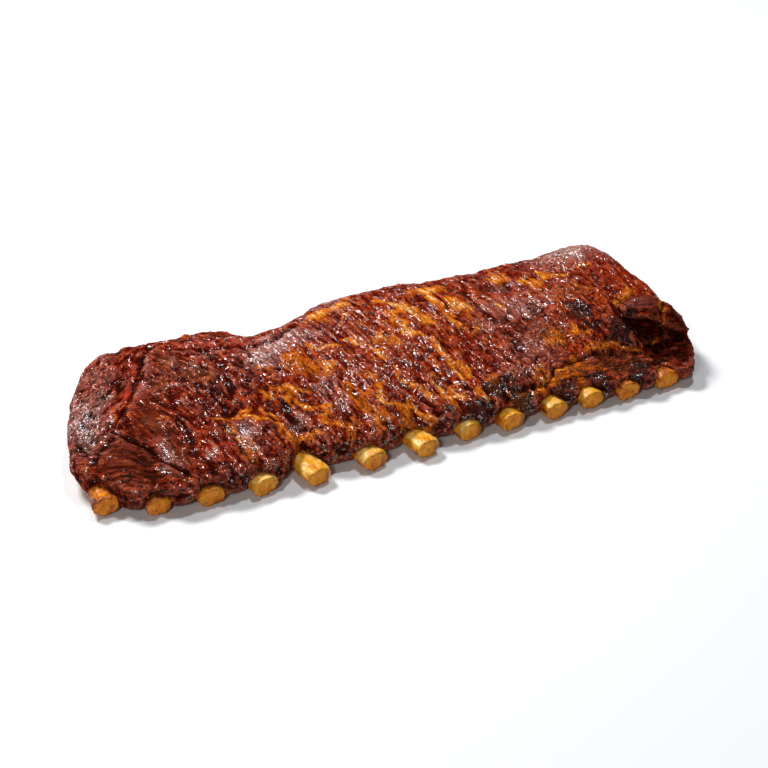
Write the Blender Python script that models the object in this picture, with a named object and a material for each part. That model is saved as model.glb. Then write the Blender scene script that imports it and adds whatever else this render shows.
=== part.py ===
"""A cooked rack of pork ribs: one slab of meat on thirteen rib bones, lying bone side down.

Metres, +Z up. +X runs along the rack, the bone ends stick out at -Y, and the origin is under the
middle of the rack, on the surface that it lies on. The slab rests on two flat strips of its own
meat, under its front and back edges. Between them the bones arch up a little, as ribs do, and lie
bare along the hollow underside.
"""

import math
from dataclasses import dataclass

import bmesh
import bpy
from mathutils import Vector, noise

# --- Driving dimensions -----------------------------------------------------------------------
HALF_LENGTH = 0.191
FRONT_EDGE = -0.055
BACK_EDGE = 0.0755
END_MIDDLES = (-0.016, -0.004)  # where the front and back edges meet, at the left and right ends
WAIST_HEIGHT = 0.014  # the height at which the slab is widest
CROWN_HEIGHT = 0.0372
FRONT_DROP = 0.013  # how much thinner the slab is at its front edge
BACK_DROP = 0.0015
END_DROP = 0.004
GROOVE_DEPTHS = (0.0010, 0.0034)  # the hollows of the top over the bones, at the back and the front
GROOVE_HALF_WIDTH = 0.0065

LEFT_FRONT_OVERHANG = 0.006  # how much further forward the front edge is near each end
RIGHT_FRONT_OVERHANG = 0.003
BACK_NOTCH_DEPTH = 0.010  # a shallow bay in the back edge, a quarter of the way from the left
BACK_NOTCH_PLACE = -0.048
BACK_NOTCH_LENGTH = 0.026
BARE_NOTCH_LENGTH = 0.0075  # the slab draws back this far to each side of a bare bone

ARCH_CENTRE = 0.010  # the hollow under the ribs, across the rack
ARCH_HALF_WIDTH = 0.044
ARCH_HEIGHT = 0.007

RIB_START = -0.181  # where the first bone's tip is, along the rack
RIB_GAPS = (0.027, 0.0295, 0.0305, 0.0315, 0.0345, 0.0320, 0.0295, 0.0265, 0.0290, 0.0235, 0.0240, 0.0265)
RIB_TIPS = (46, 57, 60, 62, 65, 63, 63, 57, 58, 57, 56, 55, 54)  # how far forward each bone reaches, mm
RIB_BARE = (4, 3, 3, 6, 22, 7, 15, 4, 8, 10, 10, 6, 9)  # how much of each bone's end is bare, mm
RIB_LEANS = (0.00, 0.05, 0.12, 0.20, 0.27, 0.25, 0.25, 0.24, 0.22, 0.20, 0.17, 0.14, 0.12)
RIB_BACK_END = 0.053
RIB_BACK_COVER = 0.024  # meat behind the bones that end short of that, under the slanted left end
RIB_HALF_WIDTH = 0.0068
RIB_HALF_HEIGHT = 0.0046
RIB_UNDERSIDE = 0.0012  # meat under the bones, above the flat strips
RIB_ARCH_SHARE = 0.50  # the bones arch less than the meat does, so they lie bare in the middle
RIB_SWAY = 0.0022  # each bone bows sideways by this much at its middle
RIB_CLEARANCE = 0.0003
CHANNEL_MOUTH = 0.004  # how far a bone's channel is cut on past its bare tip

MEAT_STATIONS = 66
TOP_POINTS = 23
BOTTOM_SHARES = (0.985, 0.94, 0.84, 0.66, 0.45, 0.15)  # rows of the underside, out to its edges
STRIP_SHARE = 0.84  # the underside is flat out to here, and rounds up to the edge beyond
RIB_STATIONS = 8
RIB_SIDES = 10

MEAT_COLOUR = (0.20, 0.035, 0.016, 1.0)
BONE_COLOUR = (0.72, 0.45, 0.20, 1.0)
MILLIMETRE = 0.001


@dataclass(frozen=True)
class Lump:
    """A rounded rise (or, below zero, a dent) of the slab's top, turned by an angle in degrees."""

    x: float
    y: float
    length: float
    width: float
    height: float
    turn: float = 0.0

    def at(self, x, y):
        turn = math.radians(self.turn)
        across_x, across_y = x - self.x, y - self.y
        along = (across_x * math.cos(turn) + across_y * math.sin(turn)) / self.length
        side = (across_y * math.cos(turn) - across_x * math.sin(turn)) / self.width
        return self.height * math.exp(-(along * along + side * side))


LUMPS = (
    Lump(0.157, 0.060, 0.026, 0.024, 0.0105),  # the rise at the back right corner
    Lump(0.100, 0.062, 0.022, 0.013, 0.0030),
    Lump(0.026, 0.052, 0.040, 0.024, 0.0060),  # the crown of the middle
    Lump(-0.052, 0.034, 0.026, 0.018, 0.0020, 35),
    Lump(-0.050, 0.062, 0.026, 0.010, -0.0075, 12),  # the low, ragged stretch of the back edge
    Lump(-0.095, 0.060, 0.018, 0.010, 0.0010),
    Lump(-0.156, 0.060, 0.020, 0.014, 0.0065),  # the roll at the back left corner
    Lump(-0.158, 0.018, 0.040, 0.0045, -0.0050, 48),  # the crease that sets off the left end
    Lump(-0.160, -0.022, 0.020, 0.016, 0.0035, 70),  # the smooth muscle in front of it
    Lump(-0.120, -0.008, 0.026, 0.022, 0.0020, 60),
    Lump(-0.080, -0.036, 0.012, 0.011, 0.0032, 70),  # bulges between the front bone ends
    Lump(-0.047, -0.036, 0.013, 0.011, 0.0030, 70),
    Lump(-0.012, -0.038, 0.012, 0.010, 0.0026, 70),
    Lump(0.060, -0.037, 0.014, 0.007, 0.0050, 8),  # the dark clod on the ledge
    Lump(0.122, -0.008, 0.024, 0.020, 0.0025),
    Lump(0.144, -0.022, 0.013, 0.011, 0.0045, 60),  # the scorched rise beside the flap
    Lump(0.168, -0.019, 0.012, 0.010, -0.0060),  # the hollow under the flap
)

LEDGE_START = 0.060  # from here to the right end the top layer stops short of the front edge
LEDGE_EDGES = (-0.041, -0.028)  # where it stops, at the start of the ledge and at its right end
LEDGE_DROP = 0.0075
LEDGE_SOFTNESS = 0.011

FLAP_START = Vector((0.151, -0.012, 0.034))  # a strip of meat, half torn off and curled over
FLAP_END = Vector((0.190, -0.022, 0.016))
FLAP_RISE = 0.010
FLAP_HALF_WIDTH = 0.0175
FLAP_HALF_THICKNESS = 0.0065
FLAP_ROLL = math.radians(24.0)  # its back edge dips into the slab, its front edge stands off it
FLAP_STATIONS = 10
FLAP_SIDES = 14


# --- Small maths ------------------------------------------------------------------------------
def clamp(value, low=0.0, high=1.0):
    return min(high, max(low, value))


def smooth_step(low, high, value):
    share = clamp((value - low) / (high - low))
    return share * share * (3.0 - 2.0 * share)


def mix(first, second, share):
    return first + (second - first) * share


def signed_power(value, power):
    return math.copysign(abs(value) ** power, value)


# --- Outline and underside --------------------------------------------------------------------
def arch(y):
    """How far the hollow underside stands above the surface that the rack lies on."""
    share = (y - ARCH_CENTRE) / ARCH_HALF_WIDTH
    return ARCH_HEIGHT * max(0.0, 1.0 - share * share)


def bell(distance, length):
    return math.exp(-((distance / length) ** 2))


def uneven(amount, spacing, x, y=0.0, layer=0.0):
    """Smooth unevenness that rises and falls by the amount, about once in each spacing."""
    return amount * noise.noise(Vector((x / spacing, y / spacing * 0.65, layer)))


@dataclass(frozen=True)
class Corner:
    """A rounded corner of the outline: where it starts along the rack, and how square it is."""

    start: float
    squareness: float

    def share(self, x):
        """1 before the corner, falling to 0 at the end of the rack."""
        gone = clamp((abs(x) - self.start) / (HALF_LENGTH - self.start))
        return max(0.0, 1.0 - gone**self.squareness) ** (1.0 / self.squareness)


FRONT_CORNERS = (Corner(0.138, 2.0), Corner(0.166, 2.6))  # left and right
BACK_CORNERS = (Corner(0.142, 1.45), Corner(0.152, 2.0))
END_ROUNDING = Corner(0.160, 3.0)  # how the slab's thickness rounds off towards both ends


def end_middle(x):
    """Where the front and back edges meet at the ends of the rack."""
    return mix(*END_MIDDLES, smooth_step(-HALF_LENGTH, HALF_LENGTH, x))


def back_edge(x):
    edge = BACK_EDGE - BACK_NOTCH_DEPTH * bell(x - BACK_NOTCH_PLACE, BACK_NOTCH_LENGTH)
    edge += 0.002 * bell(x - 0.025, 0.030)
    edge += uneven(0.0035, 0.033, x, layer=7.7) + uneven(0.0018, 0.011, x, layer=1.7)
    return mix(end_middle(x), edge, BACK_CORNERS[x > 0].share(x))


# --- Ribs -------------------------------------------------------------------------------------
@dataclass(frozen=True)
class Rib:
    """One bone: it runs back from its bare tip, leaning along the rack, and arches a little."""

    number: int
    tip: float
    front_end: float
    back_end: float
    bare: float
    lean: float

    @property
    def name(self):
        return f"rib_bone_{self.number:02d}"

    def along_rack(self, y):
        sway = RIB_SWAY * math.sin(math.pi * (y - self.front_end) / (self.back_end - self.front_end))
        return self.tip - self.lean * (y - self.front_end) + sway

    def centre(self, y):
        underside = RIB_UNDERSIDE + RIB_ARCH_SHARE * arch(y)
        return Vector((self.along_rack(y), y, underside + RIB_HALF_HEIGHT * self.swell(y)))

    def swell(self, y):
        """The bone is a little wider at its bare end than inside the meat."""
        share = (y - self.front_end) / (RIB_BACK_END - self.front_end)
        ripple = 0.04 * math.sin(self.number * 2.3 + 9.0 * share)
        return 1.10 - 0.16 * clamp(share * 2.2) + ripple


def ribs():
    """All the bones, from the left end of the rack to the right."""
    tip, found = RIB_START, []
    for index, (reach, bare, lean) in enumerate(zip(RIB_TIPS, RIB_BARE, RIB_LEANS)):
        front_end = -reach * MILLIMETRE
        back_end = min(RIB_BACK_END, back_edge(tip) - RIB_BACK_COVER)
        found.append(Rib(index + 1, tip, front_end, back_end, bare * MILLIMETRE, lean))
        tip += RIB_GAPS[index] if index < len(RIB_GAPS) else 0.0
    return found


RIBS = ribs()


def rib_stations(rib):
    return [
        mix(rib.front_end, rib.back_end, station / (RIB_STATIONS - 1)) for station in range(RIB_STATIONS)
    ]


def rib_ring(rib, y, grow):
    """A flattened oval ring square to the bone at y, grown outwards by a gap."""
    centre, swell = rib.centre(y), rib.swell(y)
    points = []
    for side in range(RIB_SIDES):
        angle = 2.0 * math.pi * side / RIB_SIDES
        across = (RIB_HALF_WIDTH * swell + grow) * signed_power(math.cos(angle), 0.85)
        up = (RIB_HALF_HEIGHT * swell + grow) * signed_power(math.sin(angle), 0.85)
        points.append(centre + Vector((across, across * rib.lean, up)))
    return points


def rib_rings(rib):
    return [rib_ring(rib, y, 0.0) for y in rib_stations(rib)]


def channel_rings(rib):
    """The bone's own rings with a gap all round, open past its bare tip."""
    stations = rib_stations(rib)
    rings = [rib_ring(rib, y, RIB_CLEARANCE) for y in stations]
    ahead = rib_ring(rib, stations[0], RIB_CLEARANCE)
    behind = rib_ring(rib, stations[-1], RIB_CLEARANCE)
    rings.insert(0, [point + Vector((0.0, -CHANNEL_MOUTH, 0.0)) for point in ahead])
    rings.append([point + Vector((0.0, RIB_CLEARANCE, 0.0)) for point in behind])
    return rings


# --- The slab ---------------------------------------------------------------------------------
def nearest_rib(x, y):
    """Distance along the rack to the nearest bone's middle line."""
    return min(abs(x - rib.along_rack(y)) for rib in RIBS)


def front_edge(x):
    """The slab's front edge, drawn back over each bone as far as the bone is bare."""
    edge = FRONT_EDGE - LEFT_FRONT_OVERHANG * smooth_step(-0.055, -0.100, x)
    edge -= RIGHT_FRONT_OVERHANG * smooth_step(0.070, 0.120, x)
    edge += uneven(0.002, 0.024, x, layer=3.1)
    for rib in RIBS:
        bare_from = rib.front_end + rib.bare
        drawn_back = max(0.0, bare_from - edge)
        edge += drawn_back * bell(x - rib.along_rack(bare_from), BARE_NOTCH_LENGTH)
    return mix(end_middle(x), edge, FRONT_CORNERS[x > 0].share(x))


def ledge_drop(x, y):
    """How much lower the top is in front of the edge where the top layer stops."""
    edge = mix(*LEDGE_EDGES, smooth_step(LEDGE_START, 0.165, x)) + uneven(0.003, 0.029, x, layer=5.0)
    in_front = 1.0 - smooth_step(edge - LEDGE_SOFTNESS, edge, y)
    return LEDGE_DROP * smooth_step(LEDGE_START, LEDGE_START + 0.030, x) * in_front


def top_height(x, y):
    """The height of the slab's top before its edges are rounded."""
    across = (y - FRONT_EDGE) / (BACK_EDGE - FRONT_EDGE)
    height = CROWN_HEIGHT
    height -= FRONT_DROP * (1.0 - smooth_step(0.0, 0.55, across))
    height -= BACK_DROP * smooth_step(0.75, 1.0, across)
    height -= END_DROP * smooth_step(0.120, 0.185, abs(x))
    forward = 1.0 - smooth_step(-0.045, 0.035, y)
    height -= mix(*GROOVE_DEPTHS, forward) * bell(nearest_rib(x, y), GROOVE_HALF_WIDTH)
    height -= ledge_drop(x, y)
    height += sum(lump.at(x, y) for lump in LUMPS)
    return height + uneven(0.0022, 0.026, x, y, 2.0) + uneven(0.0013, 0.0105, x, y, 8.0)


def slab_ring(x):
    """One closed ring across the slab: over the top from front to back, then under it."""
    front, back = front_edge(x), back_edge(x)
    middle, reach = (front + back) / 2.0, (back - front) / 2.0
    fullness = END_ROUNDING.share(x)
    points = []
    for index in range(TOP_POINTS):
        angle = math.pi * index / (TOP_POINTS - 1)
        y = middle - reach * signed_power(math.cos(angle), 0.58)
        rise = (top_height(x, y) - WAIST_HEIGHT) * math.sin(angle) ** 0.52
        points.append(Vector((x, y, WAIST_HEIGHT + rise * fullness)))
    shares = BOTTOM_SHARES + tuple(-share for share in reversed(BOTTOM_SHARES))
    for share in shares:
        y = middle + reach * share
        outside = clamp((abs(share) - STRIP_SHARE) / (1.0 - STRIP_SHARE))
        drop = WAIST_HEIGHT * math.sqrt(1.0 - outside * outside) * fullness
        points.append(Vector((x, y, WAIST_HEIGHT - drop + arch(y) * fullness)))
    return points


def station_along(share):
    """Stations crowd towards both ends, where the rack rounds off."""
    return HALF_LENGTH * mix(share, math.sin(0.5 * math.pi * share), 0.62)


def slab_rings():
    last = MEAT_STATIONS - 1
    shares = [-1.0 + 2.0 * station / last for station in range(MEAT_STATIONS)]
    return [slab_ring(station_along(clamp(share, -0.9985, 0.9985))) for share in shares]


def flap_rings():
    """The curled flap: an arched strip, thinner towards both its ends."""
    forward = (FLAP_END - FLAP_START).normalized()
    level = Vector((0.0, 0.0, 1.0)).cross(forward).normalized()
    side = level * math.cos(FLAP_ROLL) - Vector((0.0, 0.0, math.sin(FLAP_ROLL)))
    rings = []
    for station in range(FLAP_STATIONS):
        share = station / (FLAP_STATIONS - 1)
        taper = math.sin(math.pi * mix(0.12, 0.90, share)) ** 0.5
        centre = FLAP_START.lerp(FLAP_END, share)
        centre.z += FLAP_RISE * math.sin(math.pi * share)
        slope = mix(0.55, -1.45, share)
        up = Vector((-slope * forward.x, -slope * forward.y, 1.0)) + level * math.sin(FLAP_ROLL)
        up.normalize()
        ring = []
        for index in range(FLAP_SIDES):
            angle = 2.0 * math.pi * index / FLAP_SIDES
            across = FLAP_HALF_WIDTH * taper * signed_power(math.cos(angle), 0.75)
            lift = FLAP_HALF_THICKNESS * taper * signed_power(math.sin(angle), 0.75)
            sag = -0.0035 * (across / FLAP_HALF_WIDTH) ** 2
            ring.append(centre + side * across + up * lift + Vector((0.0, 0.0, sag)))
        rings.append(ring)
    return rings


# --- Meshes and objects -----------------------------------------------------------------------
def loft(name, rings):
    """A closed mesh through rings of equally many points, with a face over each end."""
    mesh = bmesh.new()
    loops = [[mesh.verts.new(point) for point in ring] for ring in rings]
    for near, far in zip(loops, loops[1:]):
        for index in range(len(near)):
            after = (index + 1) % len(near)
            mesh.faces.new((near[index], near[after], far[after], far[index]))
    mesh.faces.new(loops[0])
    mesh.faces.new(list(reversed(loops[-1])))
    bmesh.ops.recalc_face_normals(mesh, faces=mesh.faces)
    made = bpy.data.meshes.new(name)
    mesh.to_mesh(made)
    mesh.free()
    made.shade_smooth()
    return made


def material(name, colour, roughness):
    made = bpy.data.materials.new(name)
    made.use_nodes = True
    shader = made.node_tree.nodes["Principled BSDF"]
    shader.inputs["Base Color"].default_value = colour
    shader.inputs["Roughness"].default_value = roughness
    shader.inputs["Metallic"].default_value = 0.0
    return made


def place(name, mesh, finish, parent):
    obj = bpy.data.objects.new(name, mesh)
    obj.data.materials.append(finish)
    obj.parent = parent
    bpy.context.scene.collection.objects.link(obj)
    return obj


def as_guide(obj):
    """Keeps a cutter, or a shape that a union adds, out of the finished object."""
    obj.hide_render = True
    obj.display_type = "WIRE"
    return obj


def boolean(obj, name, operation, other):
    modifier = obj.modifiers.new(name, "BOOLEAN")
    modifier.operation = operation
    modifier.solver = "EXACT"
    modifier.object = other


def build_bones(parent, finish):
    for rib in RIBS:
        bone = place(rib.name, loft(rib.name, rib_rings(rib)), finish, parent)
        bone.data.set_sharp_from_angle(angle=math.radians(50.0))


def build_meat(parent, finish):
    meat = place("meat_slab", loft("meat_slab", slab_rings()), finish, parent)
    flap = as_guide(place("flap_guide", loft("flap_guide", flap_rings()), finish, parent))
    boolean(meat, "torn flap", "UNION", flap)
    for rib in RIBS:
        cutter = loft("channel", channel_rings(rib))
        channel = as_guide(place(f"channel_{rib.number:02d}", cutter, finish, parent))
        boolean(meat, f"channel {rib.number}", "DIFFERENCE", channel)


def centre_over_origin(rack):
    """Shifts the rack level along the floor, so that the middle of its box is over the origin."""
    bpy.context.view_layer.update()
    pieces = [piece for piece in rack.children if not piece.hide_render]
    depsgraph = bpy.context.evaluated_depsgraph_get()
    corners = [Vector(corner) for piece in pieces for corner in piece.evaluated_get(depsgraph).bound_box]
    for axis in range(2):
        places = [corner[axis] for corner in corners]
        rack.location[axis] = -(min(places) + max(places)) / 2.0


def main():
    for obj in list(bpy.data.objects):
        bpy.data.objects.remove(obj)
    rack = bpy.data.objects.new("rack_of_ribs", None)
    bpy.context.scene.collection.objects.link(rack)
    build_bones(rack, material("cooked bone", BONE_COLOUR, 0.45))
    build_meat(rack, material("cooked meat", MEAT_COLOUR, 0.38))
    centre_over_origin(rack)
    bpy.context.view_layer.update()


main()
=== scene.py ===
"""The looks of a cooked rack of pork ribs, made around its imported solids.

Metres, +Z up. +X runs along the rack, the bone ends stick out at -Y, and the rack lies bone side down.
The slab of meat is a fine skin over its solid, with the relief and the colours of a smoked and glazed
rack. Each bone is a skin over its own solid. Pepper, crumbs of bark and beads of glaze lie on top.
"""

import logging
import math
from dataclasses import dataclass, field
from enum import Enum
from typing import Any

import bmesh
import bpy
import numpy as np
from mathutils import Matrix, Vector, noise


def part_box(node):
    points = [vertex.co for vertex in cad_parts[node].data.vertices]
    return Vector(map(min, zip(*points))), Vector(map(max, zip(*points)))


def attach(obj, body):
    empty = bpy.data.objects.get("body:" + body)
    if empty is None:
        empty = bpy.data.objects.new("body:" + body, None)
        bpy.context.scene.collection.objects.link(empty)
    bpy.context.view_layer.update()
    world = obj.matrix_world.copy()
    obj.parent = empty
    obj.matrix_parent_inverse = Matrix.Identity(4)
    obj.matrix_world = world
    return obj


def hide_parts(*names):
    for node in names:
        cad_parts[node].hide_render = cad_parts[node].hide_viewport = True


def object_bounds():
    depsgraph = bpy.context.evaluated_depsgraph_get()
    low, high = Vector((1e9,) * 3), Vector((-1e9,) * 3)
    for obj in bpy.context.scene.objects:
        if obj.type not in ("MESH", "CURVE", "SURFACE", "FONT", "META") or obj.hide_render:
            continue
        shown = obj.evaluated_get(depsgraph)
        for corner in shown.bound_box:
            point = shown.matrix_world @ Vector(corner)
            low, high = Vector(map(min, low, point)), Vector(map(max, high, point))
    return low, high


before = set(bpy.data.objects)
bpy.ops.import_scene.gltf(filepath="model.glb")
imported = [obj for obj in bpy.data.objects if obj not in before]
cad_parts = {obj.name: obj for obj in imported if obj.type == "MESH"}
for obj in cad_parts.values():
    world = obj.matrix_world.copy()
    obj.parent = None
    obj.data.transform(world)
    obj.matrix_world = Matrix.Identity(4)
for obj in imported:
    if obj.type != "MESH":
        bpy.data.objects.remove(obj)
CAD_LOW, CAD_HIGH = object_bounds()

LOG = logging.getLogger("rack_of_ribs")
MM = 0.001
BODY = "root"
BOX_SLACK = 0.0011  # how far the looks may stand above the solids' box
Colour = tuple[float, float, float]
Point = tuple[float, float]


class Slot(Enum):
    """The record's material slots."""

    MEAT = "meat"
    BONE = "bone"


# --- Node trees -------------------------------------------------------------------------------
class Value:
    """A number in a node tree. Python's operators on it add Math nodes."""

    def __init__(self, tree: "Tree", socket: bpy.types.NodeSocket) -> None:
        """Wraps an output socket of one of the tree's nodes."""
        self.tree = tree
        self.socket = socket

    def __add__(self, other: "Value | float") -> "Value":
        """The sum of both."""
        return self.tree.math("ADD", self, other)

    def __sub__(self, other: "Value | float") -> "Value":
        """This less the other."""
        return self.tree.math("SUBTRACT", self, other)

    def __rsub__(self, other: "Value | float") -> "Value":
        """The other less this."""
        return self.tree.math("SUBTRACT", other, self)

    def __mul__(self, other: "Value | float") -> "Value":
        """The product of both."""
        return self.tree.math("MULTIPLY", self, other)

    def __truediv__(self, other: "Value | float") -> "Value":
        """This over the other."""
        return self.tree.math("DIVIDE", self, other)

    def __rtruediv__(self, other: "Value | float") -> "Value":
        """The other over this."""
        return self.tree.math("DIVIDE", other, self)

    def __pow__(self, other: "Value | float") -> "Value":
        """This to the power of the other."""
        return self.tree.math("POWER", self, other)

    __radd__ = __add__
    __rmul__ = __mul__

    def at_least(self, other: "Value | float") -> "Value":
        """The larger of both."""
        return self.tree.math("MAXIMUM", self, other)

    def at_most(self, other: "Value | float") -> "Value":
        """The smaller of both."""
        return self.tree.math("MINIMUM", self, other)

    def share(self) -> "Value":
        """This held between 0 and 1."""
        return self.at_least(0.0).at_most(1.0)

    def step(self, low: float, high: float) -> "Value":
        """A smooth rise from 0 at low to 1 at high, or a fall where low is above high."""
        if low > high:
            return 1.0 - self.step(high, low)
        made = self.tree.node(
            "ShaderNodeMapRange",
            {"interpolation_type": "SMOOTHSTEP"},
            {"Value": self, "From Min": low, "From Max": high},
        )
        return Value(self.tree, made.outputs["Result"])


class Tree:
    """Adds nodes to one shader or geometry tree."""

    def __init__(self, nodes_in: bpy.types.NodeTree) -> None:
        """Takes the tree to build in."""
        self.inside = nodes_in

    def node(
        self, kind: str, settings: dict[str, Any] | None = None, inputs: dict[Any, Any] | None = None
    ) -> bpy.types.Node:
        """Adds one node, with its settings first and its sockets after them.

        Args:
            kind: The node's type.
            settings: Its properties; "stops" gives a ramp's (place, colour) pairs.
            inputs: What each socket holds or is linked to, by identifier, name or number.

        Returns:
            The new node.
        """
        made = self.inside.nodes.new(kind)
        for name, value in (settings or {}).items():
            if name == "stops":
                self._set_stops(made.color_ramp, value)
            else:
                setattr(made, name, value)
        by_name = {socket.name: socket for socket in reversed(made.inputs) if socket.enabled}
        by_identifier = {socket.identifier: socket for socket in made.inputs}
        for key, value in (inputs or {}).items():
            if isinstance(key, int):
                socket = made.inputs[key]
            else:
                socket = by_name[key] if key in by_name else by_identifier[key]
            self._feed(socket, value)
        return made

    def _feed(self, socket: bpy.types.NodeSocket, value: Any) -> None:
        """Links a value or a socket to the socket, or sets the number that it holds."""
        if isinstance(value, Value):
            self.inside.links.new(value.socket, socket)
        elif isinstance(value, bpy.types.NodeSocket):
            self.inside.links.new(value, socket)
        else:
            socket.default_value = value

    @staticmethod
    def _set_stops(ramp: bpy.types.ColorRamp, stops: list[tuple[float, Colour]]) -> None:
        """Gives the ramp these stops and no others."""
        while len(ramp.elements) > 1:
            ramp.elements.remove(ramp.elements[-1])
        for index, (place, colour) in enumerate(stops):
            element = ramp.elements[0] if index == 0 else ramp.elements.new(place)
            element.position = place
            element.color = (*colour, 1.0)

    @staticmethod
    def out(node: bpy.types.Node, identifier: str) -> bpy.types.NodeSocket:
        """An output of a node that has several by the same name."""
        return next(socket for socket in node.outputs if socket.identifier == identifier)

    def math(self, operation: str, first: Value | float, second: Value | float) -> Value:
        """One Math node."""
        made = self.node("ShaderNodeMath", {"operation": operation}, {0: first, 1: second})
        return Value(self, made.outputs[0])

    def scaled(self, vector: bpy.types.NodeSocket, scale: tuple[float, float, float]) -> bpy.types.NodeSocket:
        """A vector times a scale for each axis."""
        made = self.node("ShaderNodeVectorMath", {"operation": "MULTIPLY"}, {0: vector, 1: scale})
        return made.outputs[0]

    def noise(
        self,
        vector: bpy.types.NodeSocket,
        size: float,
        detail: float = 2.0,
        roughness: float = 0.5,
        distortion: float = 0.0,
        layer: float = 0.0,
    ) -> Value:
        """Smooth noise about 0, mostly between -1 and 1.

        Args:
            vector: Where it is read, in metres.
            size: The size of its largest patches, in metres.
            detail: How many finer layers it has.
            roughness: How strong those are.
            distortion: How much it is stirred.
            layer: Another number gives another pattern.

        Returns:
            The noise.
        """
        made = self.node(
            "ShaderNodeTexNoise",
            {"noise_dimensions": "4D"},
            {
                "Vector": vector,
                "W": layer,
                "Scale": 1.0 / size,
                "Detail": detail,
                "Roughness": roughness,
                "Distortion": distortion,
            },
        )
        return (Value(self, made.outputs[0]) - 0.5) * 3.6

    def cells(self, vector: bpy.types.NodeSocket, size: float) -> Value:
        """Distance to the nearest of scattered points, in cells of that size: 0 at a point."""
        made = self.node("ShaderNodeTexVoronoi", {}, {"Vector": vector, "Scale": 1.0 / size})
        return Value(self, made.outputs["Distance"])

    def grains(self, vector: bpy.types.NodeSocket, size: float) -> tuple[Value, Value]:
        """Closely packed grains of that size.

        Args:
            vector: Where they are read, in metres.
            size: How wide they are, in metres.

        Returns:
            The distance to the nearest gap between grains, in grains, and a number of each grain's own
            between -1 and 1.
        """
        where = {"Vector": vector, "Scale": 1.0 / size}
        gap = self.node("ShaderNodeTexVoronoi", {"feature": "DISTANCE_TO_EDGE"}, where)
        own = self.node("ShaderNodeTexVoronoi", {"feature": "F1"}, where)
        split = self.node("ShaderNodeSeparateColor", {}, {0: own.outputs["Color"]})
        return Value(self, gap.outputs["Distance"]), Value(self, split.outputs[0]) * 2.0 - 1.0

    def stirred(self, vector: bpy.types.NodeSocket, size: float, amount: float) -> bpy.types.NodeSocket:
        """Places moved about by noise of that size, by up to about the amount, both in metres."""
        stir = self.node("ShaderNodeTexNoise", {}, {"Vector": vector, "Scale": 1.0 / size, "Detail": 1.0})
        centred = self.node("ShaderNodeVectorMath", {"operation": "SUBTRACT"}, {0: stir.outputs[1], 1: (0.5,) * 3})
        moved = self.scaled(centred.outputs[0], (amount * 2.0,) * 3)
        return self.node("ShaderNodeVectorMath", {"operation": "ADD"}, {0: vector, 1: moved}).outputs[0]

    def blend(self, share: Value | float, first: Any, second: Any, how: str = "MIX") -> bpy.types.NodeSocket:
        """Mixes two colours, which are sockets or three numbers."""
        colours = [(*c, 1.0) if isinstance(c, tuple) else c for c in (first, second)]
        made = self.node(
            "ShaderNodeMix",
            {"data_type": "RGBA", "blend_type": how},
            {"Factor_Float": share, "A_Color": colours[0], "B_Color": colours[1]},
        )
        return self.out(made, "Result_Color")

    def ramp(self, value: Value, stops: list[tuple[float, Colour]]) -> bpy.types.NodeSocket:
        """Colours along a value from 0 to 1."""
        made = self.node("ShaderNodeValToRGB", {"stops": stops}, {"Fac": value})
        return made.outputs["Color"]


class ShaderTree(Tree):
    """The node tree of one material."""

    def __init__(self, name: str) -> None:
        """Makes the material and finds its shader."""
        self.material = bpy.data.materials.new(name)
        self.material.use_nodes = True
        super().__init__(self.material.node_tree)
        self.shader = self.inside.nodes["Principled BSDF"]

    @property
    def place(self) -> bpy.types.NodeSocket:
        """Object coordinates, in metres."""
        return self.node("ShaderNodeTexCoord").outputs["Object"]

    def mark(self, name: str) -> Value:
        """A number that the mesh holds at each point."""
        made = self.node("ShaderNodeAttribute", {"attribute_name": name})
        return Value(self, made.outputs["Fac"])

    def direction(self, name: str) -> bpy.types.NodeSocket:
        """A vector that the mesh holds at each point."""
        return self.node("ShaderNodeAttribute", {"attribute_name": name}).outputs["Vector"]

    def finish(self, **sockets: Any) -> bpy.types.Material:
        """Sets or links the shader's sockets, whose names are written with underscores."""
        for name, value in sockets.items():
            self._feed(self.shader.inputs[name.replace("_", " ")], value)
        return self.material

    def lobe(self, **sockets: Any) -> bpy.types.NodeSocket:
        """One more shader, for a material that joins two."""
        inputs = {name.replace("_", " "): value for name, value in sockets.items()}
        return self.node("ShaderNodeBsdfPrincipled", {}, inputs).outputs[0]

    def join(
        self, share: Value, first: bpy.types.NodeSocket, second: bpy.types.NodeSocket
    ) -> bpy.types.Material:
        """Ends the material with two shaders, of which the second shows by its share."""
        self.inside.nodes.remove(self.shader)
        mixed = self.node("ShaderNodeMixShader", {}, {0: share, 1: first, 2: second})
        self._feed(self.inside.nodes["Material Output"].inputs["Surface"], mixed.outputs[0])
        return self.material

    def bumped(self, height: Value, strength: float = 1.0) -> bpy.types.NodeSocket:
        """A normal that follows a height in metres."""
        made = self.node("ShaderNodeBump", {}, {"Height": height, "Distance": 1.0, "Strength": strength})
        return made.outputs["Normal"]


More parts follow.
